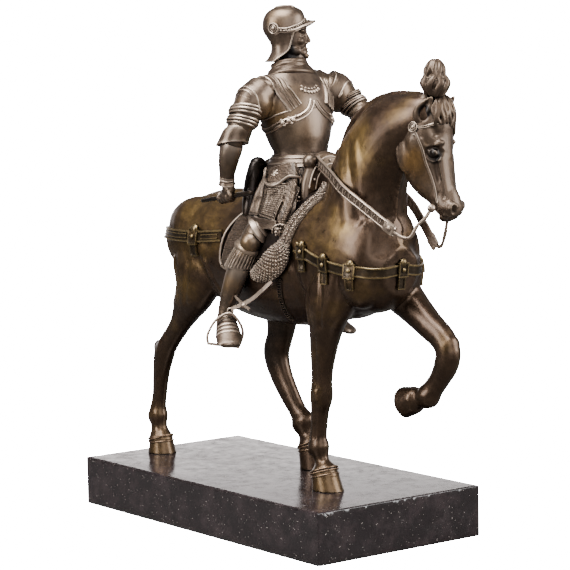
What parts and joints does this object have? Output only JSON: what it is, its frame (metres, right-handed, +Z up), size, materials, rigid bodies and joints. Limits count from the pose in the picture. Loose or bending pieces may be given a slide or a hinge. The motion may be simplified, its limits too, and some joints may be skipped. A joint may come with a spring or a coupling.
{
  "type": "equestrian statuette",
  "caption": "Patinated bronze statuette of an armoured rider on a walking horse, standing on a polished dark stone slab.",
  "frame": {"origin": "centre of the slab's underside, which is the face it rests on", "axes": "+X towards the horse's front along the slab's long side, +Y towards the horse's left, +Z up"},
  "size_m": [0.3769, 0.16, 0.4169],
  "materials": {
    "stone": "polished dark limestone with pale specks",
    "bronze": "cast bronze with a dark brown patina, golden where rubbed",
    "worn_bronze": "cast bronze, the patina rubbed thin"
  },
  "bodies": {
    "root": {"stone_slab": "stone", "horse": "bronze", "rider_and_saddle": "bronze", "baton": "worn_bronze", "rein_right": "bronze", "rein_left": "bronze", "stirrup_right": "bronze", "stirrup_left": "bronze", "forelock_tuft": "bronze"}
  },
  "joints": []
}
